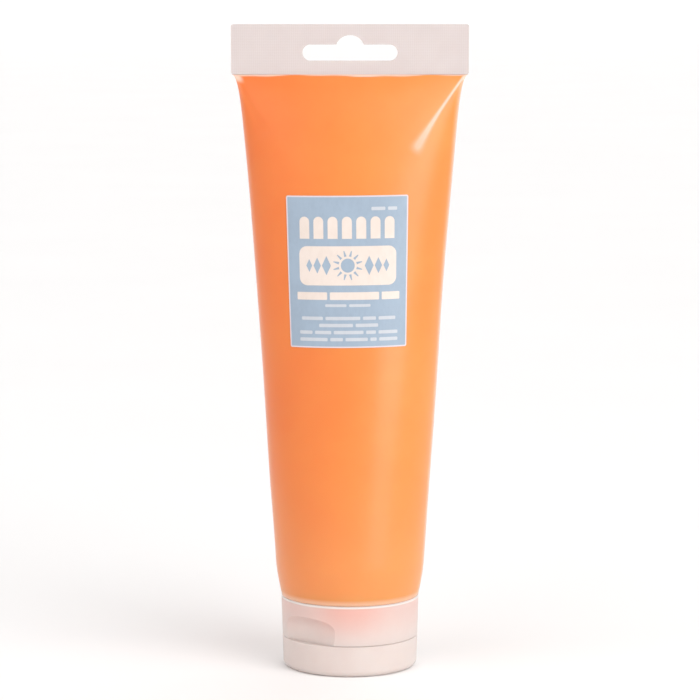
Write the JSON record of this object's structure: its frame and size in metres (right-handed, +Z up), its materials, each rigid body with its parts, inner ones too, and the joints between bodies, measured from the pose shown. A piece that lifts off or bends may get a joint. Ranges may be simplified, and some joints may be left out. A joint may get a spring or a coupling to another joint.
{
  "type": "squeeze tube of printing ink",
  "caption": "Full squeeze tube of block-printing ink that stands on a screw-on flip-top closure, with a flat welded tail and a hang slot.",
  "frame": {"origin": "centre of the lid's outer face, on the surface that the tube stands on", "axes": "+Z up the tube from the closure to the hang tail, -Y out of the front label, +X to the label's right"},
  "size_m": [0.0786, 0.05, 0.215],
  "materials": {
    "sleeve_film": "gloss",
    "clear_film": "satin",
    "natural_polypropylene": "satin",
    "head_polyethylene": "satin",
    "orange_ink": "gloss",
    "label_paper": "satin"
  },
  "bodies": {
    "closure": {"closure_body": "natural_polypropylene", "thread_collar": "natural_polypropylene", "dispensing_spout": "natural_polypropylene", "hinge_films": "natural_polypropylene", "hinge_strap": "natural_polypropylene"},
    "lid": {"flip_lid": "natural_polypropylene", "lid_plug": "natural_polypropylene"},
    "neck": {"neck_ink": "orange_ink"},
    "tube": {"tube_sleeve": "sleeve_film", "hang_tail": "clear_film", "tube_head": "head_polyethylene", "ink_fill": "orange_ink", "front_label": "label_paper"}
  },
  "joints": [
    {"name": "lid_hinge", "type": "hinge", "parent": "closure", "child": "lid", "pos_m": [0.01474, 0.01757, 0.0105], "axis": [0.766, -0.6428, 0], "range_deg": [0, 180], "deforming": ["hinge_films", "hinge_strap"]},
    {"name": "tube_rise", "type": "slide", "parent": "closure", "child": "neck", "axis": [0, 0, 1], "range_m": [0, 0.006]},
    {"name": "tube_turn", "type": "hinge", "parent": "neck", "child": "tube", "pos_m": [0, 0, 0.0104], "axis": [0, 0, 1], "range_deg": [0, 720]}
  ],
  "couplings": [
    {"joint": "tube_rise", "follows": "tube_turn", "m_per_rad": 0.00047746}
  ]
}
